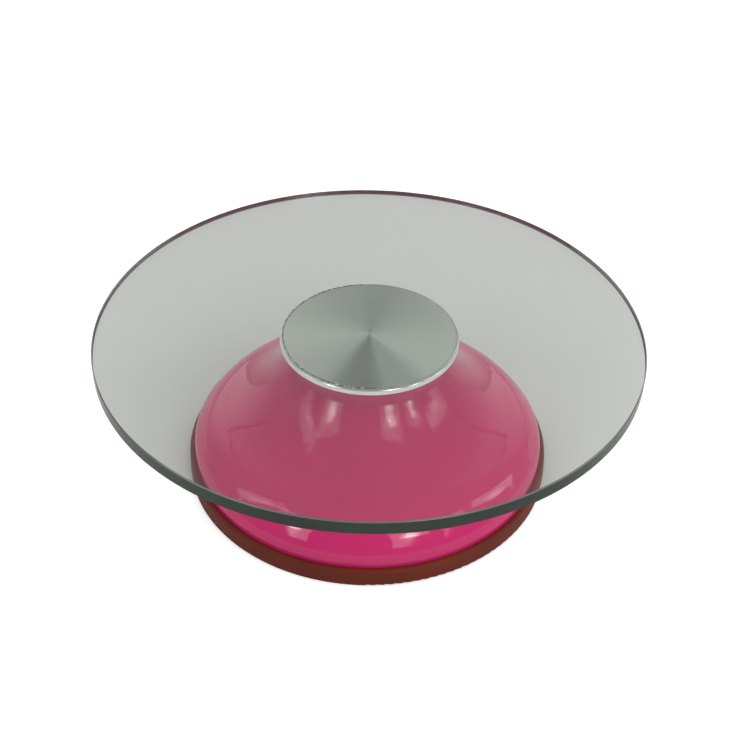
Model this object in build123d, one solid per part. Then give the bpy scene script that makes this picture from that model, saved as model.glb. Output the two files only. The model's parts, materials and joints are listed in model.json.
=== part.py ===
"""Cake turntable: a round glass plate that spins on a domed plastic base.

Millimetres, +Z up, origin on the table under the middle of the foot ring.
Every physical piece is one node. Identical screws and balls share a node.
"""
from build123d import *
import math
import os

os.makedirs("parts", exist_ok=True)

# ---------------------------------------------------------------- driving dimensions

TOTAL_HEIGHT = 93.5

# Plate, adhesive and hub disc.
PLATE_RADIUS = 150.0
PLATE_THICKNESS = 8.0
PLATE_ARRIS = 0.6
BOND_THICKNESS = 0.2
BOND_RADIUS = 48.1
DISC_RADIUS = 49.3
DISC_THICKNESS = 3.5
DISC_FACE_RADIUS = 48.4
DISC_BEVEL_DROP = 0.8
DISC_BEVEL_BLEND = 1.0
DISC_UNDER_CHAMFER = 0.3
HUB_RADIUS = 22.0
HUB_DEPTH = 4.0

# Base shell: a vertical skirt, a low dome, and a neck that flares down from the rim.
# Each corner is a radius, a height and the radius of the blend across it.
SKIRT_RADIUS = 100.1
SKIRT_CORNER = (SKIRT_RADIUS, 18.1, 13.0)
DOME_CORNER = (89.3, 31.6, 38.0)
FLARE_CORNER = (71.0, 41.0, 70.0)
NECK_CORNER = (53.5, 57.0, 100.0)
COLLAR_CORNER = (42.7, 72.0, 8.0)
RIM_RADIUS = 42.2
RIM_HEIGHT = 80.0
RIM_BLEND = 3.0
SHELL_WALL = 2.8
SHELL_BOTTOM = 3.0
SHELL_RIB_COUNT = 12
SHELL_RIB_DEPTH = 7.0
SHELL_RIB_THICKNESS = 1.8

# Recess in the top of the shell, which holds the bearing housing's flange.
RECESS_RADIUS = 38.0
RECESS_FLOOR = 74.0
RECESS_FLOOR_THICKNESS = 3.0
SHELL_OPENING_RADIUS = 28.0

# Foot ring: a soft channel pushed up over the bottom edge of the shell.
FOOT_OUTER_RADIUS = 103.3
FOOT_TOP_RADIUS = 102.9
FOOT_TOP = 10.8
FOOT_INNER_RADIUS = 93.5
FOOT_LIP_TOP = 9.0
FOOT_GAP = 0.05
TREAD_RADII = (96.3, 99.7)
TREAD_WIDTH = 1.2
TREAD_DEPTH = 0.8

# Bottom cover and its screws.
COVER_RADIUS = 93.2
COVER_BOTTOM = 2.2
COVER_THICKNESS = 2.5
COVER_CUP_RADIUS = 6.0
COVER_CUP_TOP = 7.7
COVER_SCREW_SEAT = 5.2
COVER_SCREW_CIRCLE = 78.0
COVER_SCREW_COUNT = 6
COVER_RIB_RADII = (24.0, 52.0)
COVER_RIB_WIDTH = 2.0
COVER_RIB_TOP = 8.7
PILLAR_RADIUS = 4.2
PILLAR_DRILL_DEPTH = 12.0

# Deep-groove ball bearings, 12 x 28 x 8.
BEARING_BORE = 6.0
BEARING_OUTER = 14.0
BEARING_WIDTH = 8.0
BALL_RADIUS = 2.381
BALL_COUNT = 8
BALL_CIRCLE = 10.0
RACE_GROOVE_RADIUS = 2.476
RACE_CLEARANCE = 0.02
INNER_LAND_RADIUS = 8.4
OUTER_LAND_RADIUS = 11.8
SHIELD_SEAT_RADIUS = 12.4
SHIELD_SEAT_DEPTH = 0.9
SHIELD_THICKNESS = 0.5
SHIELD_INNER_RADIUS = 8.6
CAGE_INNER_RADIUS = 9.2
CAGE_OUTER_RADIUS = 10.8
CAGE_HEIGHT = 5.8
CAGE_POCKET_CLEARANCE = 0.1
UPPER_BEARING_BOTTOM = 62.0
LOWER_BEARING_BOTTOM = 36.0

# Bearing housing.
HOUSING_BOTTOM = 34.0
HOUSING_COLUMN_RADIUS = 18.0
HOUSING_MIDDLE_BORE = 12.2
HOUSING_CUP_RADIUS = 24.2
HOUSING_CUP_OUTER = 27.5
HOUSING_CUP_FLOOR = 70.6
HOUSING_CUP_UNDERSIDE = 67.5
HOUSING_FLANGE_RADIUS = 37.5
HOUSING_FLANGE_THICKNESS = 4.0
HOUSING_SCREW_CIRCLE = 32.5
HOUSING_SCREW_COUNT = 6
HOUSING_GUSSET_COUNT = 6
HOUSING_GUSSET_THICKNESS = 2.5
HOUSING_GUSSET_FOOT = 50.0
BOSS_RADIUS = 3.9
BOSS_BOTTOM = 61.0

# Spindle and what holds it in the bearings.
SPINDLE_RADIUS = BEARING_BORE
SPINDLE_SHOULDER_RADIUS = 8.4
SPINDLE_FLANGE_THICKNESS = 3.0
SPINDLE_SPIGOT_RADIUS = 8.0
SPINDLE_SPIGOT_HEIGHT = 2.0
SPIGOT_END_GAP = 0.2
SPINDLE_BOTTOM = 29.0
SPINDLE_END_CHAMFER = 0.8
SPINDLE_SCREW_CIRCLE = 15.5
SPINDLE_SCREW_COUNT = 4
GROOVE_RADIUS = 5.7
WASHER_THICKNESS = 0.8
WASHER_INNER_RADIUS = 6.1
SPRING_THICKNESS = 0.4
SPRING_HEIGHT = 1.1
SPRING_OUTER_RADIUS = 8.3
CLIP_THICKNESS = 1.0
CLIP_GROOVE_WIDTH = 1.1
CLIP_INNER_RADIUS = 5.75
CLIP_OUTER_RADIUS = 7.3
CLIP_GAP_ANGLE = 50.0
CLIP_LUG_RADIUS = 1.5
CLIP_LUG_HOLE_RADIUS = 0.6

# Screws: shank radius, length below the head, head radius, head height.
MACHINE_SCREW = (2.0, 8.0, 3.6, 2.3)
SHELL_SCREW = (1.7, 14.0, 3.6, 2.3)
COVER_SCREW = (1.6, 12.0, 3.2, 2.0)
THREAD_CLEARANCE = 0.02
SCREW_END_GAP = 0.4
HOLE_CLEARANCE = 0.25
CROSS_SLOT_WIDTH = 0.8

# Heights that follow from the ones above, from the plate down.
PLATE_BOTTOM = TOTAL_HEIGHT - PLATE_THICKNESS
DISC_FACE = PLATE_BOTTOM - BOND_THICKNESS
DISC_BOTTOM = DISC_FACE - DISC_THICKNESS
HUB_BOTTOM = DISC_BOTTOM - HUB_DEPTH
SPINDLE_FLANGE_BOTTOM = HUB_BOTTOM - SPINDLE_FLANGE_THICKNESS
UPPER_BEARING_TOP = UPPER_BEARING_BOTTOM + BEARING_WIDTH
LOWER_BEARING_TOP = LOWER_BEARING_BOTTOM + BEARING_WIDTH
FLANGE_TOP = RECESS_FLOOR + HOUSING_FLANGE_THICKNESS
WASHER_BOTTOM = LOWER_BEARING_BOTTOM - WASHER_THICKNESS
SPRING_BOTTOM = WASHER_BOTTOM - SPRING_HEIGHT


# ---------------------------------------------------------------- helpers

def outline(corners):
    """Face inside a closed outline of (x, y) corners; a third number rounds a corner."""
    points = [Vector(*corner[:2]) for corner in corners]
    radii = [corner[2] if len(corner) == 3 else 0 for corner in corners]
    ends = []
    for index, (point, radius) in enumerate(zip(points, radii)):
        back = (points[index - 1] - point).normalized()
        ahead = (points[(index + 1) % len(points)] - point).normalized()
        reach = radius * math.tan(math.radians(180 - back.get_angle(ahead)) / 2)
        ends.append((point + back * reach, point + ahead * reach, back * -1))
    edges = []
    for index, (arrive, leave, direction) in enumerate(ends):
        edges.append(Line(ends[index - 1][1], arrive))
        if radii[index]:
            edges.append(TangentArc(arrive, leave, tangent=direction))
    return make_face(edges)


def turned(*corners):
    """Solid turned about Z from a closed outline of (radius, height) corners."""
    return revolve(Plane.XZ * outline(corners), Axis.Z)


def ring(inner_radius, outer_radius, bottom, top):
    """Plain round ring."""
    return turned((inner_radius, bottom), (outer_radius, bottom), (outer_radius, top), (inner_radius, top))


def rod(radius, bottom, top):
    """Upright round bar on the Z axis."""
    return Pos(0, 0, bottom) * Cylinder(radius, top - bottom, align=(Align.CENTER, Align.CENTER, Align.MIN))


def around(shape, count, radius=0.0, first_angle=0.0):
    """Copies of a shape, evenly spaced on a circle about Z."""
    return [place * shape for place in PolarLocations(radius, count, first_angle)]


def inset(path, distance):
    """Corners of an upward path moved towards the axis by a distance."""
    normals = []
    for (r0, z0), (r1, z1) in zip(path, path[1:]):
        length = math.hypot(r1 - r0, z1 - z0)
        normals.append(((z0 - z1) / length, (r1 - r0) / length))
    before = [normals[0]] + normals
    after = normals + [normals[-1]]
    moved = []
    for (radius, height), (ax, az), (bx, bz) in zip(path, before, after):
        scale = distance / (1 + ax * bx + az * bz)
        moved.append((radius + (ax + bx) * scale, height + (az + bz) * scale))
    return moved


def screw(shank_radius, length, head_radius, head_height):
    """Pan-head screw with a cross recess, head up, with the head's seat at height 0."""
    body = turned(
        (0, -length),
        (shank_radius * 0.5, -length),
        (shank_radius, -length + shank_radius),
        (shank_radius, 0),
        (head_radius, 0),
        (head_radius, head_height, head_height * 0.6),
        (0, head_height),
    )
    slot = Box(head_radius * 1.1, CROSS_SLOT_WIDTH, head_height)
    recess = Pos(0, 0, head_height) * (slot + Rot(0, 0, 90) * slot)
    return body - recess


def write(name, shape):
    """Write one node's STEP file."""
    export_step(shape, f"parts/{name}.step")


# ---------------------------------------------------------------- plate, adhesive and hub disc

def glass_plate():
    """Toughened glass plate with small ground arrises on both edges."""
    edge = PLATE_RADIUS - PLATE_ARRIS
    return turned(
        (0, PLATE_BOTTOM),
        (edge, PLATE_BOTTOM),
        (PLATE_RADIUS, PLATE_BOTTOM + PLATE_ARRIS),
        (PLATE_RADIUS, TOTAL_HEIGHT - PLATE_ARRIS),
        (edge, TOTAL_HEIGHT),
        (0, TOTAL_HEIGHT),
    )


def bond_film():
    """Clear adhesive between the plate and the disc."""
    return rod(BOND_RADIUS, DISC_FACE, PLATE_BOTTOM)


def hub_disc():
    """Turned aluminium disc with a bevelled edge and a boss for the spindle below."""
    body = turned(
        (0, HUB_BOTTOM),
        (HUB_RADIUS, HUB_BOTTOM),
        (HUB_RADIUS, DISC_BOTTOM),
        (DISC_RADIUS - DISC_UNDER_CHAMFER, DISC_BOTTOM),
        (DISC_RADIUS, DISC_BOTTOM + DISC_UNDER_CHAMFER),
        (DISC_RADIUS, DISC_FACE - DISC_BEVEL_DROP, DISC_BEVEL_BLEND),
        (DISC_FACE_RADIUS, DISC_FACE),
        (0, DISC_FACE),
    )
    socket_top = HUB_BOTTOM + SPINDLE_SPIGOT_HEIGHT + SPIGOT_END_GAP
    socket = rod(SPINDLE_SPIGOT_RADIUS + THREAD_CLEARANCE, HUB_BOTTOM, socket_top)
    shank_radius, length, _, _ = MACHINE_SCREW
    screw_tip = SPINDLE_FLANGE_BOTTOM + length
    tapped_hole = rod(shank_radius + THREAD_CLEARANCE, HUB_BOTTOM, screw_tip + SCREW_END_GAP)
    body -= socket
    for hole in around(tapped_hole, SPINDLE_SCREW_COUNT, SPINDLE_SCREW_CIRCLE):
        body -= hole
    return body


# ---------------------------------------------------------------- base

def shell_path():
    """Outer corners of the shell, from its bottom edge up to its rim."""
    corners = (SKIRT_CORNER, DOME_CORNER, FLARE_CORNER, NECK_CORNER, COLLAR_CORNER)
    middle = [(radius, height) for radius, height, _ in corners]
    return [(SKIRT_RADIUS, SHELL_BOTTOM), *middle, (RIM_RADIUS, RIM_HEIGHT)]


def shell_wall():
    """Wall of the shell, with the recess in its top."""
    outer = shell_path()
    inner = inset(outer, SHELL_WALL)
    floor_underside = RECESS_FLOOR - RECESS_FLOOR_THICKNESS
    inner_neck, inner_collar = inner[4:6]
    way_up = (floor_underside - inner_neck[1]) / (inner_collar[1] - inner_neck[1])
    inner_top_radius = inner_neck[0] + way_up * (inner_collar[0] - inner_neck[0])
    return turned(
        outer[0],
        SKIRT_CORNER,
        DOME_CORNER,
        FLARE_CORNER,
        NECK_CORNER,
        COLLAR_CORNER,
        (*outer[-1], RIM_BLEND),
        (RECESS_RADIUS, RIM_HEIGHT),
        (RECESS_RADIUS, RECESS_FLOOR),
        (SHELL_OPENING_RADIUS, RECESS_FLOOR),
        (SHELL_OPENING_RADIUS, floor_underside),
        (inner_top_radius, floor_underside),
        (*inner_neck, NECK_CORNER[2] + SHELL_WALL),
        (*inner[3], FLARE_CORNER[2] + SHELL_WALL),
        (*inner[2], DOME_CORNER[2] - SHELL_WALL),
        (*inner[1], SKIRT_CORNER[2] - SHELL_WALL),
        inner[0],
    )


def shell_rib():
    """One radial stiffening rib under the shell, in the X-Z plane."""
    path = shell_path()[1:-2]
    outer_side = inset(path, SHELL_WALL / 2)
    inner_side = inset(path, SHELL_WALL + SHELL_RIB_DEPTH)
    profile = Plane.XZ * outline(outer_side + inner_side[::-1])
    return extrude(profile, amount=SHELL_RIB_THICKNESS / 2, both=True)


def base_shell():
    """Moulded shell with ribs, pillars for the cover and bosses for the housing."""
    half_wall = inset(shell_path(), SHELL_WALL / 2)
    core = turned((0, SHELL_BOTTOM), *half_wall, (0, RIM_HEIGHT))
    shank_radius, length, _, _ = SHELL_SCREW
    boss = rod(BOSS_RADIUS, BOSS_BOTTOM, RECESS_FLOOR - RECESS_FLOOR_THICKNESS / 2)
    boss_hole = rod(shank_radius + THREAD_CLEARANCE, FLANGE_TOP - length - SCREW_END_GAP, RECESS_FLOOR)
    pillar = rod(PILLAR_RADIUS, COVER_CUP_TOP, NECK_CORNER[1])
    pillar_hole = rod(COVER_SCREW[0] + THREAD_CLEARANCE, COVER_CUP_TOP, COVER_CUP_TOP + PILLAR_DRILL_DEPTH)
    half_step = 180 / COVER_SCREW_COUNT
    shell = shell_wall()
    for rib in around(shell_rib(), SHELL_RIB_COUNT, first_angle=half_step / 2):
        shell += rib & core
    for piece in around(pillar, COVER_SCREW_COUNT, COVER_SCREW_CIRCLE, half_step):
        shell += piece & core
    for piece in around(boss, HOUSING_SCREW_COUNT, HOUSING_SCREW_CIRCLE):
        shell += piece
    for hole in around(pillar_hole, COVER_SCREW_COUNT, COVER_SCREW_CIRCLE, half_step):
        shell -= hole
    for hole in around(boss_hole, HOUSING_SCREW_COUNT, HOUSING_SCREW_CIRCLE):
        shell -= hole
    return shell


def foot_ring():
    """Soft non-slip ring, a channel that holds the shell's bottom edge."""
    slot_outer = SKIRT_RADIUS + FOOT_GAP
    slot_inner = SKIRT_RADIUS - SHELL_WALL - FOOT_GAP
    body = turned(
        (FOOT_INNER_RADIUS, 0, 0.6),
        (FOOT_OUTER_RADIUS, 0, 1.3),
        (FOOT_TOP_RADIUS, FOOT_TOP, 1.5),
        (slot_outer, FOOT_TOP, 0.3),
        (slot_outer, SHELL_BOTTOM),
        (slot_inner, SHELL_BOTTOM),
        (slot_inner, FOOT_LIP_TOP, 0.6),
        (FOOT_INNER_RADIUS, FOOT_LIP_TOP, 0.6),
    )
    for radius in TREAD_RADII:
        body -= ring(radius - TREAD_WIDTH / 2, radius + TREAD_WIDTH / 2, 0, TREAD_DEPTH)
    return body


def bottom_cover():
    """Round cover under the base, with a cup round each screw and two stiffening rings."""
    half_step = 180 / COVER_SCREW_COUNT
    shank_radius, _, head_radius, _ = COVER_SCREW
    cover = turned(
        (0, COVER_BOTTOM),
        (COVER_RADIUS, COVER_BOTTOM, 0.8),
        (COVER_RADIUS, COVER_BOTTOM + COVER_THICKNESS),
        (0, COVER_BOTTOM + COVER_THICKNESS),
    )
    for radius in COVER_RIB_RADII:
        cover += ring(radius, radius + COVER_RIB_WIDTH, COVER_BOTTOM + COVER_THICKNESS / 2, COVER_RIB_TOP)
    cup = rod(COVER_CUP_RADIUS, COVER_BOTTOM + COVER_THICKNESS / 2, COVER_CUP_TOP)
    head_hole = rod(head_radius + HOLE_CLEARANCE, COVER_BOTTOM, COVER_SCREW_SEAT)
    shank_hole = rod(shank_radius + HOLE_CLEARANCE, COVER_BOTTOM, COVER_CUP_TOP)
    for piece in around(cup, COVER_SCREW_COUNT, COVER_SCREW_CIRCLE, half_step):
        cover += piece
    for hole in around(head_hole + shank_hole, COVER_SCREW_COUNT, COVER_SCREW_CIRCLE, half_step):
        cover -= hole
    return cover


def bearing_housing():
    """Die-cast housing: a flange, a cup for the spindle's flange and a column for two bearings."""
    body = turned(
        (BEARING_OUTER, HOUSING_BOTTOM),
        (BEARING_OUTER, LOWER_BEARING_TOP),
        (HOUSING_MIDDLE_BORE, LOWER_BEARING_TOP),
        (HOUSING_MIDDLE_BORE, UPPER_BEARING_BOTTOM),
        (BEARING_OUTER, UPPER_BEARING_BOTTOM),
        (BEARING_OUTER, HOUSING_CUP_FLOOR),
        (HOUSING_CUP_RADIUS, HOUSING_CUP_FLOOR, 1.0),
        (HOUSING_CUP_RADIUS, FLANGE_TOP),
        (HOUSING_FLANGE_RADIUS, FLANGE_TOP, 0.8),
        (HOUSING_FLANGE_RADIUS, RECESS_FLOOR),
        (HOUSING_CUP_OUTER, RECESS_FLOOR),
        (HOUSING_CUP_OUTER, HOUSING_CUP_UNDERSIDE, 2.0),
        (HOUSING_COLUMN_RADIUS, HOUSING_CUP_UNDERSIDE),
        (HOUSING_COLUMN_RADIUS, HOUSING_BOTTOM),
    )
    gusset_corners = [
        (HOUSING_COLUMN_RADIUS - 1, HOUSING_GUSSET_FOOT),
        (HOUSING_COLUMN_RADIUS, HOUSING_GUSSET_FOOT),
        (HOUSING_CUP_OUTER - 2, HOUSING_CUP_UNDERSIDE),
        (HOUSING_CUP_OUTER - 2, HOUSING_CUP_UNDERSIDE + 1),
        (HOUSING_COLUMN_RADIUS - 1, HOUSING_CUP_UNDERSIDE + 1),
    ]
    gusset = extrude(Plane.XZ * outline(gusset_corners), amount=HOUSING_GUSSET_THICKNESS / 2, both=True)
    for piece in around(gusset, HOUSING_GUSSET_COUNT):
        body += piece
    screw_hole = rod(SHELL_SCREW[0] + HOLE_CLEARANCE, RECESS_FLOOR, FLANGE_TOP)
    for hole in around(screw_hole, HOUSING_SCREW_COUNT, HOUSING_SCREW_CIRCLE):
        body -= hole
    return body


# ---------------------------------------------------------------- spindle and its fixings

def spindle():
    """Stepped steel spindle with a flange on top and a groove for the retaining ring."""
    clip_top = SPRING_BOTTOM
    body = turned(
        (0, SPINDLE_BOTTOM),
        (SPINDLE_RADIUS - SPINDLE_END_CHAMFER, SPINDLE_BOTTOM),
        (SPINDLE_RADIUS, SPINDLE_BOTTOM + SPINDLE_END_CHAMFER),
        (SPINDLE_RADIUS, clip_top - CLIP_GROOVE_WIDTH),
        (GROOVE_RADIUS, clip_top - CLIP_GROOVE_WIDTH),
        (GROOVE_RADIUS, clip_top),
        (SPINDLE_RADIUS, clip_top),
        (SPINDLE_RADIUS, UPPER_BEARING_TOP),
        (SPINDLE_SHOULDER_RADIUS, UPPER_BEARING_TOP),
        (SPINDLE_SHOULDER_RADIUS, SPINDLE_FLANGE_BOTTOM, 1.5),
        (HUB_RADIUS, SPINDLE_FLANGE_BOTTOM, 0.5),
        (HUB_RADIUS, HUB_BOTTOM),
        (SPINDLE_SPIGOT_RADIUS, HUB_BOTTOM),
        (SPINDLE_SPIGOT_RADIUS, HUB_BOTTOM + SPINDLE_SPIGOT_HEIGHT, 0.4),
        (0, HUB_BOTTOM + SPINDLE_SPIGOT_HEIGHT),
    )
    screw_hole = rod(MACHINE_SCREW[0] + HOLE_CLEARANCE, SPINDLE_FLANGE_BOTTOM, HUB_BOTTOM)
    for hole in around(screw_hole, SPINDLE_SCREW_COUNT, SPINDLE_SCREW_CIRCLE):
        body -= hole
    return body


def spring_washer():
    """Conical spring washer that takes the play out of the bearings."""
    top = SPRING_BOTTOM + SPRING_HEIGHT
    return turned(
        (WASHER_INNER_RADIUS, SPRING_BOTTOM),
        (SPRING_OUTER_RADIUS, top - SPRING_THICKNESS),
        (SPRING_OUTER_RADIUS, top),
        (WASHER_INNER_RADIUS, SPRING_BOTTOM + SPRING_THICKNESS),
    )


def retaining_ring():
    """Spring clip in the spindle's groove, with two lugs for pliers."""
    top = SPRING_BOTTOM
    bottom = top - CLIP_THICKNESS
    clip = ring(CLIP_INNER_RADIUS, CLIP_OUTER_RADIUS, bottom, top)
    half_gap = math.radians(CLIP_GAP_ANGLE / 2)
    reach = 2 * CLIP_OUTER_RADIUS
    wedge = outline([
        (0, 0),
        (reach, -reach * math.tan(half_gap)),
        (reach, reach * math.tan(half_gap)),
    ])
    clip -= Pos(0, 0, bottom) * extrude(wedge, amount=CLIP_THICKNESS)
    lug = rod(CLIP_LUG_RADIUS, bottom, top)
    lug_hole = rod(CLIP_LUG_HOLE_RADIUS, bottom, top)
    for side in (-1, 1):
        place = Rot(0, 0, side * CLIP_GAP_ANGLE / 2) * Pos(CLIP_OUTER_RADIUS, 0, 0)
        clip += place * lug
        clip -= place * lug_hole
    return clip


# ---------------------------------------------------------------- bearings

def race_groove(groove_bottom, centre_side, middle):
    """Round groove that the balls run in, as a cutting tool.

    centre_side is +1 where the groove's centre lies outside its bottom, else -1.
    """
    centre = groove_bottom + centre_side * RACE_GROOVE_RADIUS
    section = Plane.XZ * Pos(centre, middle) * Circle(RACE_GROOVE_RADIUS)
    return revolve(section, Axis.Z)


def bearing(name, bottom):
    """Write one ball bearing's races, shields, cage and balls."""
    top = bottom + BEARING_WIDTH
    middle = (bottom + top) / 2
    inner_groove = race_groove(BALL_CIRCLE - BALL_RADIUS - RACE_CLEARANCE, 1, middle)
    outer_groove = race_groove(BALL_CIRCLE + BALL_RADIUS + RACE_CLEARANCE, -1, middle)
    inner_race = ring(BEARING_BORE, INNER_LAND_RADIUS, bottom, top) - inner_groove
    outer_race = ring(OUTER_LAND_RADIUS, BEARING_OUTER, bottom, top) - outer_groove
    shield_radii = (SHIELD_INNER_RADIUS, SHIELD_SEAT_RADIUS)
    outer_race -= ring(SHIELD_INNER_RADIUS, SHIELD_SEAT_RADIUS, bottom, bottom + SHIELD_SEAT_DEPTH)
    outer_race -= ring(SHIELD_INNER_RADIUS, SHIELD_SEAT_RADIUS, top - SHIELD_SEAT_DEPTH, top)
    lower_seat = bottom + SHIELD_SEAT_DEPTH
    upper_seat = top - SHIELD_SEAT_DEPTH
    shields = [
        ring(*shield_radii, lower_seat - SHIELD_THICKNESS, lower_seat),
        ring(*shield_radii, upper_seat, upper_seat + SHIELD_THICKNESS),
    ]
    cage = ring(CAGE_INNER_RADIUS, CAGE_OUTER_RADIUS, middle - CAGE_HEIGHT / 2, middle + CAGE_HEIGHT / 2)
    pocket = Rot(0, 90, 0) * Cylinder(BALL_RADIUS + CAGE_POCKET_CLEARANCE, 2 * BALL_RADIUS)
    for hole in around(pocket, BALL_COUNT, BALL_CIRCLE):
        cage -= Pos(0, 0, middle) * hole
    balls = [Pos(0, 0, middle) * ball for ball in around(Sphere(BALL_RADIUS), BALL_COUNT, BALL_CIRCLE)]
    write(f"{name}_inner_race", inner_race)
    write(f"{name}_outer_race", outer_race)
    write(f"{name}_shields", Compound(shields))
    write(f"{name}_cage", cage)
    write(f"{name}_balls", Compound(balls))


# ---------------------------------------------------------------- screws

def screw_set(kind, count, circle, seat, head_up=True, first_angle=0.0):
    """Identical screws on a circle, with the undersides of their heads at one height."""
    turn = Rot(0, 0, 0) if head_up else Rot(180, 0, 0)
    one = Pos(0, 0, seat) * turn * screw(*kind)
    return Compound(around(one, count, circle, first_angle))


# ---------------------------------------------------------------- build

write("glass_plate", glass_plate())
write("bond_film", bond_film())
write("hub_disc", hub_disc())
write("spindle", spindle())
write("spindle_screws", screw_set(
    MACHINE_SCREW, SPINDLE_SCREW_COUNT, SPINDLE_SCREW_CIRCLE, SPINDLE_FLANGE_BOTTOM, head_up=False))
write("shim_washer", ring(WASHER_INNER_RADIUS, SPRING_OUTER_RADIUS, WASHER_BOTTOM, LOWER_BEARING_BOTTOM))
write("spring_washer", spring_washer())
write("retaining_ring", retaining_ring())

write("base_shell", base_shell())
write("foot_ring", foot_ring())
write("bottom_cover", bottom_cover())
write("cover_screws", screw_set(
    COVER_SCREW, COVER_SCREW_COUNT, COVER_SCREW_CIRCLE, COVER_SCREW_SEAT,
    head_up=False, first_angle=180 / COVER_SCREW_COUNT))
write("bearing_housing", bearing_housing())
write("housing_screws", screw_set(
    SHELL_SCREW, HOUSING_SCREW_COUNT, HOUSING_SCREW_CIRCLE, FLANGE_TOP))

bearing("upper_bearing", UPPER_BEARING_BOTTOM)
bearing("lower_bearing", LOWER_BEARING_BOTTOM)
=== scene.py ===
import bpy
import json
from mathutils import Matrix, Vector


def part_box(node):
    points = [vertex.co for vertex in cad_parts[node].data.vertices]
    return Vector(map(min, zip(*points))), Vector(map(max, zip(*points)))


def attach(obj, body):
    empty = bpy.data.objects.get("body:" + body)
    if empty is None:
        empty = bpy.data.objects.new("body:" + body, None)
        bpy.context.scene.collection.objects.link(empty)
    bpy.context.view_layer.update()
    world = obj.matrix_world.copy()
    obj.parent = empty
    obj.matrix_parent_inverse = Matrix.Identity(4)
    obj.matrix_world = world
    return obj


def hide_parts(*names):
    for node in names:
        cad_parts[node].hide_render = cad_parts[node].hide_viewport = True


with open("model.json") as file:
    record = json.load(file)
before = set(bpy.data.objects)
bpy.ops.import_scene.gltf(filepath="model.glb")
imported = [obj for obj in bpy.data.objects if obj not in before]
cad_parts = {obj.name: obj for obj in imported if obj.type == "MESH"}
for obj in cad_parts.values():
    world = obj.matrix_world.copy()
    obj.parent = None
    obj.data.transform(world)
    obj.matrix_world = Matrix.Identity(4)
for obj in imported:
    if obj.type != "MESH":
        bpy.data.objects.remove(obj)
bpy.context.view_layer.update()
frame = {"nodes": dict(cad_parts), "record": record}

import json
import math

import bmesh
import bpy
from mathutils import Matrix, Vector

# ---------------------------------------------------------------- sizes, in metres

MM = 0.001
plate_low, plate_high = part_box("glass_plate")
film_low, film_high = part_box("bond_film")
disc_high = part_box("hub_disc")[1]

PLATE_RADIUS = plate_high.x
PLATE_MIDDLE = (plate_low.z + plate_high.z) / 2
PLATE_HALF = (plate_high.z - plate_low.z) / 2
ARRIS = 0.6 * MM
EDGE_BLUR = 0.03 * MM
FACE_MARGIN = 0.01 * MM

FILM_RADIUS = film_high.x
FILM_GAP = 0.01 * MM
# Bands of the adhesive, measured inwards from its edge.
SPOTS_START = 1.3 * MM
LINE_START = 0.7 * MM
BAND_FULL = 0.4 * MM
# The adhesive is dirty on the side of negative x, and fades to nearly clean at this x.
CLEAN_SIDE = 14 * MM
# Waves of the adhesive's edge: height, number round the edge and phase.
FILM_WAVES = (
    (0.10 * MM, 7, 0.4),
    (0.07 * MM, 23, 0.0),
    (0.05 * MM, 61, 0.0),
)

# Outside of the shell, upwards: radius, height and blend radius of each corner.
SHELL_CORNERS = (
    (100.1 * MM, 3.0 * MM, 0),
    (100.1 * MM, 18.1 * MM, 13.0 * MM),
    (89.3 * MM, 31.6 * MM, 38.0 * MM),
    (71.0 * MM, 41.0 * MM, 70.0 * MM),
    (53.5 * MM, 57.0 * MM, 100.0 * MM),
    (42.7 * MM, 72.0 * MM, 8.0 * MM),
    (42.3 * MM, 76.0 * MM, 0),
)
OUTSIDE_REACH = 0.02 * MM
TURNED_STEPS = 720
BLEND_STEPS = 24
SHELL_CUTS = 3
SHARP_ANGLE = math.radians(30)

# ---------------------------------------------------------------- looks

GLASS_IOR = 1.52
GLASS_TINT = (0.855, 0.872, 0.850)
GLASS_DEPTH = 100.0
EDGE_OPACITY = 0.85
GROOVE_LEAN = 0.14
GROOVE_ROUGHNESS = 0.29
GROOVE_SPREAD = 0.65
BUBBLE_RANGE = (0.52, 0.57)

# ---------------------------------------------------------------- studio, angles in degrees

BOX_DISTANCE = 1.6
LAMP_HEIGHT = 0.3
# Softboxes: name, azimuth, elevation, width, height, radiance, lamp's gain, brightness at the rim, tilt.
SOFTBOXES = (
    ("box_left", -46, 31.5, 20, 15, 2.4, 4.6, 0.6, 0),
    ("box_right_front", 28, 35, 21, 15, 2.6, 4.8, 0.6, 0),
    ("box_right_side", 56, 28, 15, 9, 2.4, 4.0, 0.6, 0),
    ("side_left", -72, 29, 33, 8, 1.5, 1.5, 1.0, 49),
    ("side_right", 86, 20, 32, 8, 2.1, 1.5, 1.0, -35),
)
# Hidden fills: name, azimuth, elevation, distance, width and radiance.
FILLS = (
    ("fill_top", 0, 80, 1.8, 1.6, 1.5),
    ("fill_right", 65, 35, 1.8, 1.0, 2.2),
)
FLOOR_RADIUS = 8.0
FLOOR_CORNERS = 128
FLOOR_GLOW = 0.45
PANEL_ELEVATION = 36.6
# Tones of the walls and panels behind the object: degrees from straight up, clockwise, and tone.
PANEL_TONES = (
    (-180, 0.95),
    (-168, 0.88),
    (-150, 1.20),
    (-110, 1.35),
    (-60, 0.85),
    (-30, 0.64),
    (-20, 0.09),
    (4, 0.09),
    (10, 0.40),
    (30, 0.42),
    (40, 0.88),
    (100, 1.12),
    (150, 1.18),
    (168, 0.88),
    (180, 0.95),
)
# Even middle of the panels, and where the panels give way to the room: degrees from their middle.
CORE_TONE = 0.46
CORE_OUTER, CORE_INNER = 22, 10
PANELS_OUTER, PANELS_INNER = 62, 42

CAMERA_PLACE = (0, -0.5691, 0.5084)
CAMERA_PAN = 0.0060
CAMERA_DOWN = 0.6662
CAMERA_ROLL = 0.0236
SENSOR_WIDTH = 36.0
LENS = 61.8
NEAREST_SEEN = 0.01


# ---------------------------------------------------------------- node helpers

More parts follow.
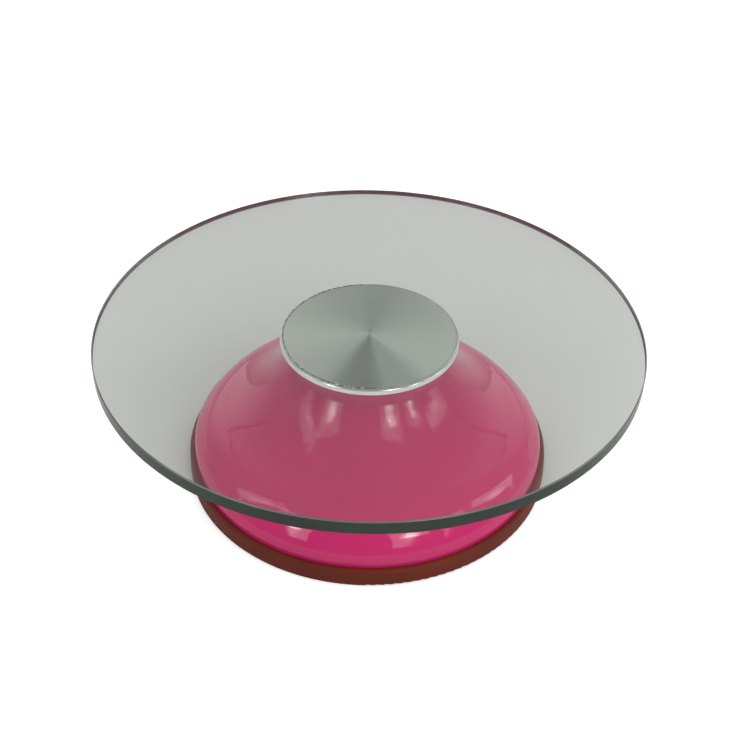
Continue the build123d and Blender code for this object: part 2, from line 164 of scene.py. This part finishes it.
class Tree:
    """Adds shader nodes to one material, world or light."""

    def __init__(self, owner):
        owner.use_nodes = True
        self.nodes = owner.node_tree.nodes
        self.links = owner.node_tree.links
        self.nodes.clear()

    def add(self, kind, *inputs, out=0, **settings):
        """Adds a node, sets its inputs in order and returns one of its outputs."""
        node = self.nodes.new("ShaderNode" + kind)
        for name, value in settings.items():
            if name in node.bl_rna.properties:
                setattr(node, name, value)
            else:
                self.feed(node.inputs[name.replace("_", " ")], value)
        for socket, value in zip(node.inputs, inputs):
            self.feed(socket, value)
        return node.outputs[out]

    def feed(self, socket, value):
        """Gives a socket a value or links it."""
        if isinstance(value, bpy.types.NodeSocket):
            self.links.new(value, socket)
        elif socket.type == "RGBA" and len(value) == 3:
            socket.default_value = (*value, 1)
        else:
            socket.default_value = value

    def finish(self, shader, kind="Material"):
        """Makes a shader the surface of the material, world or light, and returns the output node."""
        output = self.nodes.new("ShaderNodeOutput" + kind)
        self.feed(output.inputs["Surface"], shader)
        return output

    def math(self, operation, *inputs):
        return self.add("Math", *inputs, operation=operation)

    def length(self, x, y):
        """Length of a flat vector."""
        squares = self.math("ADD", self.math("MULTIPLY", x, x), self.math("MULTIPLY", y, y))
        return self.math("SQRT", squares)

    def noise(self, place, scale, detail):
        """Noise between 0 and 1; the scale is in cells per metre."""
        return self.add("TexNoise", place, Scale=scale, Detail=detail)

    def bump(self, height, strength, depth):
        """Normal of a bumpy surface."""
        return self.add("Bump", Strength=strength, Distance=depth, Height=height)

    def ramp(self, factor, *stops):
        """Colour ramp from (position, colour) stops."""
        node = self.nodes.new("ShaderNodeValToRGB")
        elements = node.color_ramp.elements
        while len(elements) < len(stops):
            elements.new(0.5)
        for element, (position, colour) in zip(elements, stops):
            element.position = position
            element.color = (*colour, 1)
        self.feed(node.inputs[0], factor)
        return node.outputs[0]

    def spread(self, value, low, high, new_low=0.0, new_high=1.0):
        """Maps a value from one range to another and clamps it."""
        return self.add("MapRange", value, low, high, new_low, new_high)


def new_material(name):
    material = bpy.data.materials.new(name)
    return material, Tree(material)


def object_place(tree):
    """Object coordinates."""
    return tree.add("TexCoord", out="Object")


def object_axes(tree):
    """Object coordinates one by one, and the distance from the spin axis."""
    place = object_place(tree)
    x, y, z = (tree.add("SeparateXYZ", place, out=axis) for axis in "XYZ")
    return x, y, z, tree.length(x, y)


def grey(value):
    return (value, value, value)


# ---------------------------------------------------------------- materials

def clear_glass():
    """Toughened glass: clear faces, green through its depth, and a ground edge that looks dark green."""
    material, tree = new_material("clear_glass")
    _, _, z, radius = object_axes(tree)
    height_off_middle = tree.math("ABSOLUTE", tree.math("SUBTRACT", z, PLATE_MIDDLE))
    outward = tree.math("ADD", radius, height_off_middle)
    arris_start = PLATE_RADIUS + PLATE_HALF - ARRIS
    arris = tree.spread(outward, arris_start - EDGE_BLUR, arris_start + EDGE_BLUR)
    edge = tree.spread(radius, PLATE_RADIUS - ARRIS, PLATE_RADIUS - ARRIS + EDGE_BLUR)
    clear = tree.add("BsdfGlass", Color=(0.985, 0.99, 0.985), Roughness=0.0, IOR=GLASS_IOR)
    patches = tree.noise(object_place(tree), 14.0, 2.0)
    body = tree.ramp(patches, (0.40, (0.006, 0.013, 0.007)), (0.66, (0.010, 0.034, 0.012)))
    bump = tree.bump(tree.noise(object_place(tree), 1500.0, 2.0), 0.06, 0.05 * MM)
    roughness = tree.spread(arris, 0.0, 1.0, 0.16, 0.34)
    tint = tree.add("MixRGB", arris, body, (0.30, 0.34, 0.31))
    ground = tree.add("BsdfPrincipled", Base_Color=tint, Roughness=roughness, IOR=GLASS_IOR, Normal=bump)
    solid = tree.add("MixShader", tree.math("MULTIPLY", edge, EDGE_OPACITY), clear, ground)
    passing = tree.add("BsdfTransparent", (0.97, 0.975, 0.97))
    shadow_ray = tree.add("LightPath", out="Is Shadow Ray")
    diffuse_ray = tree.add("LightPath", out="Is Diffuse Ray")
    soft_light = tree.math("MAXIMUM", shadow_ray, diffuse_ray)
    output = tree.finish(tree.add("MixShader", soft_light, solid, passing))
    tree.feed(output.inputs["Volume"], tree.add("VolumeAbsorption", GLASS_TINT, GLASS_DEPTH))
    return material


def turned_aluminium():
    """Lathe-turned face whose fine rings spread reflections along each radius, and a polished rim."""
    material, tree = new_material("turned_aluminium")
    x, y, z, radius = object_axes(tree)
    rings = tree.noise(tree.add("CombineXYZ", radius, 0.0, 0.0), 5000.0, 2.0)
    colour = tree.ramp(rings, (0.3, (0.84, 0.86, 0.85)), (0.7, (0.93, 0.95, 0.94)))
    outward = tree.add("CombineXYZ", x, y, 0.0)
    lean = tree.add("VectorMath", outward, operation="NORMALIZE")
    lean = tree.add("VectorMath", lean, (GROOVE_LEAN,) * 3, operation="MULTIPLY")
    normal = tree.add("NewGeometry", out="Normal")
    normal = tree.add("VectorMath", normal, lean, operation="ADD")
    normal = tree.add("VectorMath", normal, operation="NORMALIZE")
    tangent = tree.add("Tangent", direction_type="RADIAL", axis="Z")
    face = tree.add("BsdfAnisotropic", Color=colour, Roughness=GROOVE_ROUGHNESS, Anisotropy=GROOVE_SPREAD,
                    Normal=normal, Tangent=tangent)
    wear = tree.noise(object_place(tree), 900.0, 2.0)
    rim_bump = tree.bump(wear, 0.08, 0.05 * MM)
    rim_rough = tree.spread(wear, 0.3, 0.7, 0.05, 0.14)
    rim = tree.add("BsdfPrincipled", Base_Color=(0.96, 0.97, 0.97), Metallic=1.0, Roughness=rim_rough,
                   Normal=rim_bump)
    on_face = tree.math("GREATER_THAN", z, disc_high.z - FACE_MARGIN)
    tree.finish(tree.add("MixShader", on_face, rim, face))
    return material


def pink_plastic():
    """Glossy moulded plastic with a faint orange peel and slightly uneven colour."""
    material, tree = new_material("pink_plastic")
    patches = tree.noise(object_place(tree), 22.0, 3.0)
    colour = tree.ramp(patches, (0.35, (0.60, 0.017, 0.140)), (0.65, (0.64, 0.020, 0.152)))
    roughness = tree.spread(patches, 0.3, 0.7, 0.035, 0.07)
    peel = tree.bump(tree.noise(object_place(tree), 90.0, 1.0), 0.05, 0.1 * MM)
    tree.finish(tree.add("BsdfPrincipled", Base_Color=colour, Roughness=roughness, IOR=1.52, Normal=peel))
    return material


def pink_matt_plastic():
    """Textured plastic of the bottom cover."""
    material, tree = new_material("pink_matt_plastic")
    grain = tree.noise(object_place(tree), 2500.0, 2.0)
    colour = tree.ramp(grain, (0.3, (0.42, 0.020, 0.105)), (0.7, (0.48, 0.024, 0.120)))
    bump = tree.bump(grain, 0.4, 0.1 * MM)
    tree.finish(tree.add("BsdfPrincipled", Base_Color=colour, Roughness=0.5, Normal=bump))
    return material


def brown_rubber():
    """Soft brown rubber, slightly uneven in colour, with a fine grain."""
    material, tree = new_material("brown_rubber")
    patches = tree.noise(object_place(tree), 26.0, 3.0)
    colour = tree.ramp(patches, (0.3, (0.125, 0.016, 0.006)), (0.7, (0.165, 0.024, 0.010)))
    grain = tree.bump(tree.noise(object_place(tree), 900.0, 3.0), 0.15, 0.1 * MM)
    tree.finish(tree.add("BsdfPrincipled", Base_Color=colour, Roughness=0.5, IOR=1.3, Normal=grain))
    return material


def metal(name, light, dark, roughness, scale, bump_strength):
    """Metal with a fine grain between two greys."""
    material, tree = new_material(name)
    grain = tree.noise(object_place(tree), scale, 3.0)
    colour = tree.ramp(grain, (0.3, dark), (0.7, light))
    worn = tree.spread(grain, 0.3, 0.7, roughness * 0.8, roughness * 1.2)
    bump = tree.bump(grain, bump_strength, 0.1 * MM)
    tree.finish(tree.add("BsdfPrincipled", Base_Color=colour, Metallic=1.0, Roughness=worn, Normal=bump))
    return material


def adhesive():
    """Clear cured adhesive: almost invisible, with a dirty edge and small bubbles, mostly on one side."""
    material, tree = new_material("clear_adhesive")
    x, _, _, radius = object_axes(tree)
    bubbles = tree.noise(object_place(tree), 750.0, 2.0)
    near_edge = tree.spread(radius, FILM_RADIUS - SPOTS_START, FILM_RADIUS - BAND_FULL)
    line = tree.spread(radius, FILM_RADIUS - LINE_START, FILM_RADIUS - BAND_FULL, 0.0, 0.75)
    spots = tree.math("MULTIPLY", near_edge, tree.spread(bubbles, *BUBBLE_RANGE, 0.0, 0.95))
    one_side = tree.spread(x, 0.0, CLEAN_SIDE, 1.0, 0.15)
    seen = tree.math("MULTIPLY", one_side, tree.math("MAXIMUM", line, spots))
    dark_from, bright_from = BUBBLE_RANGE
    tone = tree.ramp(bubbles, (dark_from, grey(0.02)), (bright_from, grey(0.85)))
    cured = tree.add("BsdfPrincipled", Base_Color=tone, Roughness=0.2)
    clear = tree.add("BsdfTransparent", (0.97, 0.98, 0.97))
    tree.finish(tree.add("MixShader", seen, clear, cured))
    return material


def dress_nodes():
    """Gives every CAD node the material of its slot."""
    looks = {
        "clear_glass": clear_glass(),
        "clear_adhesive": adhesive(),
        "turned_aluminium": turned_aluminium(),
        "pink_plastic": pink_plastic(),
        "pink_matt_plastic": pink_matt_plastic(),
        "brown_rubber": brown_rubber(),
        "spindle_steel": metal("spindle_steel", grey(0.62), grey(0.52), 0.28, 700.0, 0.1),
        "plated_screws": metal("plated_screws", (0.70, 0.71, 0.73), (0.60, 0.61, 0.64), 0.22, 900.0, 0.1),
        "spring_steel": metal("spring_steel", grey(0.26), grey(0.18), 0.35, 900.0, 0.15),
        "bearing_steel": metal("bearing_steel", grey(0.74), grey(0.70), 0.08, 500.0, 0.02),
        "pressed_steel": metal("pressed_steel", (0.60, 0.59, 0.57), (0.52, 0.51, 0.50), 0.3, 800.0, 0.1),
        "cast_alloy": metal("cast_alloy", grey(0.50), grey(0.40), 0.5, 600.0, 0.5),
    }
    for subpart in frame["record"]["subparts"]:
        node = frame["nodes"][subpart["node"]]
        node.data.materials.clear()
        node.data.materials.append(looks[subpart["material_slot"]])
    return looks


# ---------------------------------------------------------------- finer pieces

def stand_in(name, mesh, node, material, body):
    """Makes a mesh a piece that stands in for a CAD node, and returns its data."""
    data = bpy.data.meshes.new(name)
    mesh.to_mesh(data)
    mesh.free()
    piece = bpy.data.objects.new(name, data)
    bpy.context.scene.collection.objects.link(piece)
    data.materials.append(material)
    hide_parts(node)
    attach(piece, body)
    return data


def turned_piece(name, profile, node, material, wobble=lambda angle: 0.0):
    """Fine round piece in place of a node that turns, from (radius, height) points listed upwards."""
    mesh = bmesh.new()
    rings = []
    for radius, height in profile:
        ring = []
        for step in range(TURNED_STEPS):
            angle = 2 * math.pi * step / TURNED_STEPS
            reach = radius + wobble(angle)
            ring.append(mesh.verts.new((reach * math.cos(angle), reach * math.sin(angle), height)))
        rings.append(ring)
    mesh.faces.new(rings[0][::-1])
    mesh.faces.new(rings[-1])
    for low, high in zip(rings, rings[1:]):
        for step in range(TURNED_STEPS):
            ahead = (step + 1) % TURNED_STEPS
            mesh.faces.new((low[step], low[ahead], high[ahead], high[step]))
    stand_in(name, mesh, node, material, "turntable_top")


def fine_glass(material):
    """Glass plate with a truly round edge and crisp arrises."""
    profile = (
        (PLATE_RADIUS - ARRIS, plate_low.z),
        (PLATE_RADIUS, plate_low.z + ARRIS),
        (PLATE_RADIUS, plate_high.z - ARRIS),
        (PLATE_RADIUS - ARRIS, plate_high.z),
    )
    turned_piece("fine_glass", profile, "glass_plate", material)


def film_edge(angle):
    """How far the adhesive is squeezed out at an angle."""
    return sum(height * math.sin(count * angle + phase) for height, count, phase in FILM_WAVES)


def adhesive_film(material):
    """Thin film between plate and disc, squeezed out to an uneven edge."""
    profile = ((FILM_RADIUS, film_low.z + FILM_GAP), (FILM_RADIUS, film_high.z - FILM_GAP))
    turned_piece("adhesive_film", profile, "bond_film", material, film_edge)


def blended(corners):
    """Fine (radius, height) points along corners that each have a blend radius."""
    points = [Vector(corners[0][:2])]
    for before, corner, after in zip(corners, corners[1:], corners[2:]):
        middle = Vector(corner[:2])
        back = (Vector(before[:2]) - middle).normalized()
        ahead = (Vector(after[:2]) - middle).normalized()
        half_turn = (math.pi - back.angle(ahead)) / 2
        reach = corner[2] * math.tan(half_turn)
        centre = middle + (back + ahead).normalized() * (corner[2] / math.cos(half_turn))
        start = middle + back * reach - centre
        end = middle + ahead * reach - centre
        for step in range(BLEND_STEPS + 1):
            points.append(centre + start.slerp(end, step / BLEND_STEPS))
    points.append(Vector(corners[-1][:2]))
    return points


def outer_radius(points, height):
    """Radius of the shell's outside at a height."""
    for low, high in zip(points, points[1:]):
        if low.y <= height <= high.y and high.y > low.y:
            return low.x + (high.x - low.x) * (height - low.y) / (high.y - low.y)
    return points[-1].x


def on_outside(vertex, points):
    """Whether a vertex of the shell lies on its glossy outside."""
    away = math.hypot(vertex.co.x, vertex.co.y) - outer_radius(points, vertex.co.z)
    return vertex.co.z <= points[-1].y and abs(away) < OUTSIDE_REACH


def fine_shell(material):
    """The shell with its glossy outside divided finely and drawn out to the true curve."""
    points = blended(SHELL_CORNERS)
    shell = frame["nodes"]["base_shell"]
    mesh = bmesh.new()
    mesh.from_mesh(shell.data)
    mesh.transform(shell.matrix_world)
    skin = {vertex for vertex in mesh.verts if on_outside(vertex, points)}
    edges = [edge for edge in mesh.edges if edge.verts[0] in skin and edge.verts[1] in skin]
    made = bmesh.ops.subdivide_edges(mesh, edges=edges, cuts=SHELL_CUTS, use_grid_fill=True)
    for vertex in made["geom_inner"]:
        if isinstance(vertex, bmesh.types.BMVert):
            place = vertex.co
            scale = outer_radius(points, place.z) / math.hypot(place.x, place.y)
            place.x *= scale
            place.y *= scale
    data = stand_in("fine_shell", mesh, "base_shell", material, "base")
    data.shade_smooth()
    data.set_sharp_from_angle(angle=SHARP_ANGLE)


# ---------------------------------------------------------------- studio

def floor():
    """Round pale floor. It is a light table: bright where it is seen directly."""
    bpy.ops.mesh.primitive_circle_add(
        vertices=FLOOR_CORNERS, radius=FLOOR_RADIUS, fill_type="NGON", location=(0, 0, 0)
    )
    piece = bpy.context.object
    piece.name = "floor"
    material, tree = new_material("pale_floor")
    tone = tree.noise(object_place(tree), 3.0, 2.0)
    paper = tree.add("BsdfDiffuse", tree.ramp(tone, (0.3, grey(0.735)), (0.7, grey(0.755))))
    bright = tree.add("BsdfDiffuse", grey(0.86))
    lit = tree.add("AddShader", bright, tree.add("Emission", grey(1.0), FLOOR_GLOW))
    seen = tree.add("LightPath", out="Is Camera Ray")
    tree.finish(tree.add("MixShader", seen, paper, lit))
    piece.data.materials.append(material)


def direction(azimuth, elevation):
    """Unit vector from the object; azimuth is counted from the camera's side, + to its right."""
    across = math.radians(azimuth)
    up = math.radians(elevation)
    return Vector((math.sin(across) * math.cos(up), -math.cos(across) * math.cos(up), math.sin(up)))


def place_light(name, light, azimuth, elevation, distance):
    """Puts a light at a direction and distance from the object, facing it."""
    lamp = bpy.data.objects.new(name, light)
    lamp.location = direction(azimuth, elevation) * distance + Vector((0, 0, PLATE_MIDDLE / 2))
    lamp.rotation_euler = direction(azimuth, elevation).to_track_quat("Z", "Y").to_euler()
    bpy.context.scene.collection.objects.link(lamp)
    return lamp


def box_side(angle):
    """Width of a softbox that covers an angle."""
    return 2 * BOX_DISTANCE * math.tan(math.radians(angle / 2))


def softbox(name, azimuth, elevation, wide, high, radiance, lamp_gain, rim, tilt):
    """Rectangular light with a brighter lamp off its middle, and a rim that may be dimmer."""
    light = bpy.data.lights.new(name, "AREA")
    light.shape = "RECTANGLE"
    light.size = box_side(wide)
    light.size_y = box_side(high)
    light.energy = math.pi * light.size * light.size_y * radiance
    tree = Tree(light)
    spot = tree.add("NewGeometry", out="Parametric")
    u = tree.math("SUBTRACT", tree.add("SeparateXYZ", spot, out="X"), 0.5)
    v = tree.math("SUBTRACT", tree.add("SeparateXYZ", spot, out="Y"), LAMP_HEIGHT)
    away = tree.length(u, v)
    lamp_glow = tree.spread(away, 0.05, 0.30, 1.0 + lamp_gain, 1.0)
    glow = tree.math("MULTIPLY", lamp_glow, tree.spread(away, 0.1, 0.6, 1.0, rim))
    tree.finish(tree.add("Emission", (1, 1, 1), glow), "Light")
    box = place_light(name, light, azimuth, elevation, BOX_DISTANCE)
    box.rotation_euler.rotate_axis("Z", math.radians(tilt))


def fill(name, azimuth, elevation, distance, width, radiance):
    """Large soft light that lifts the shading without showing in reflections."""
    light = bpy.data.lights.new(name, "AREA")
    light.shape = "DISK"
    light.size = width
    light.energy = math.pi * math.pi * width * width / 4 * radiance
    lamp = place_light(name, light, azimuth, elevation, distance)
    lamp.visible_glossy = False
    lamp.visible_transmission = False


def studio_lights():
    """Two front softboxes, a third beside the right one, dim side lamps, and hidden fills."""
    for numbers in SOFTBOXES:
        softbox(*numbers)
    for numbers in FILLS:
        fill(*numbers)


def within(tree, closeness, outer, inner):
    """Rises from 0 to 1 between two angles from a direction, given the cosine of the angle to it."""
    return tree.spread(closeness, math.cos(math.radians(outer)), math.cos(math.radians(inner)))


def studio_world():
    """Dim room in front; behind, pale walls that meet a dark panel and a grey one above the object."""
    world = bpy.data.worlds.new("studio")
    bpy.context.scene.world = world
    tree = Tree(world)
    gaze = tree.add("TexCoord", out="Generated")
    room = tree.ramp(
        tree.spread(tree.add("SeparateXYZ", gaze, out="Z"), -0.1, 1.0),
        (0.10, grey(0.38)),
        (0.50, (0.34, 0.35, 0.34)),
        (1.00, (0.34, 0.36, 0.35)),
    )
    middle = direction(180, PANEL_ELEVATION)
    above = direction(0, 90 - PANEL_ELEVATION)
    sideways = tree.add("SeparateXYZ", gaze, out="X")
    rise = tree.add("VectorMath", gaze, tuple(above), operation="DOT_PRODUCT", out="Value")
    turn = tree.math("ARCTAN2", sideways, rise)
    panels = tree.ramp(
        tree.spread(turn, -math.pi, math.pi),
        *((0.5 + degrees / 360, grey(tone)) for degrees, tone in PANEL_TONES),
    )
    closeness = tree.add("VectorMath", gaze, tuple(middle), operation="DOT_PRODUCT", out="Value")
    core = within(tree, closeness, CORE_OUTER, CORE_INNER)
    panels = tree.add("MixRGB", core, panels, grey(CORE_TONE))
    share = within(tree, closeness, PANELS_OUTER, PANELS_INNER)
    colour = tree.add("MixRGB", share, room, panels)
    tree.finish(tree.add("Background", colour, 1.0), "World")


def camera():
    """Camera in front of the object, above the plate."""
    lens = bpy.data.cameras.new("camera")
    lens.sensor_width = SENSOR_WIDTH
    lens.lens = LENS
    lens.clip_start = NEAREST_SEEN
    eye = bpy.data.objects.new("camera", lens)
    turn = (
        Matrix.Rotation(-CAMERA_PAN, 4, "Z")
        @ Matrix.Rotation(math.pi / 2 - CAMERA_DOWN, 4, "X")
        @ Matrix.Rotation(CAMERA_ROLL, 4, "Z")
    )
    eye.matrix_world = Matrix.Translation(CAMERA_PLACE) @ turn
    bpy.context.scene.collection.objects.link(eye)
    bpy.context.scene.camera = eye


# ---------------------------------------------------------------- scene

bpy.context.scene.view_settings.view_transform = "Standard"
looks = dress_nodes()
fine_glass(looks["clear_glass"])
fine_shell(looks["pink_plastic"])
adhesive_film(looks["clear_adhesive"])
floor()
studio_lights()
studio_world()
camera()
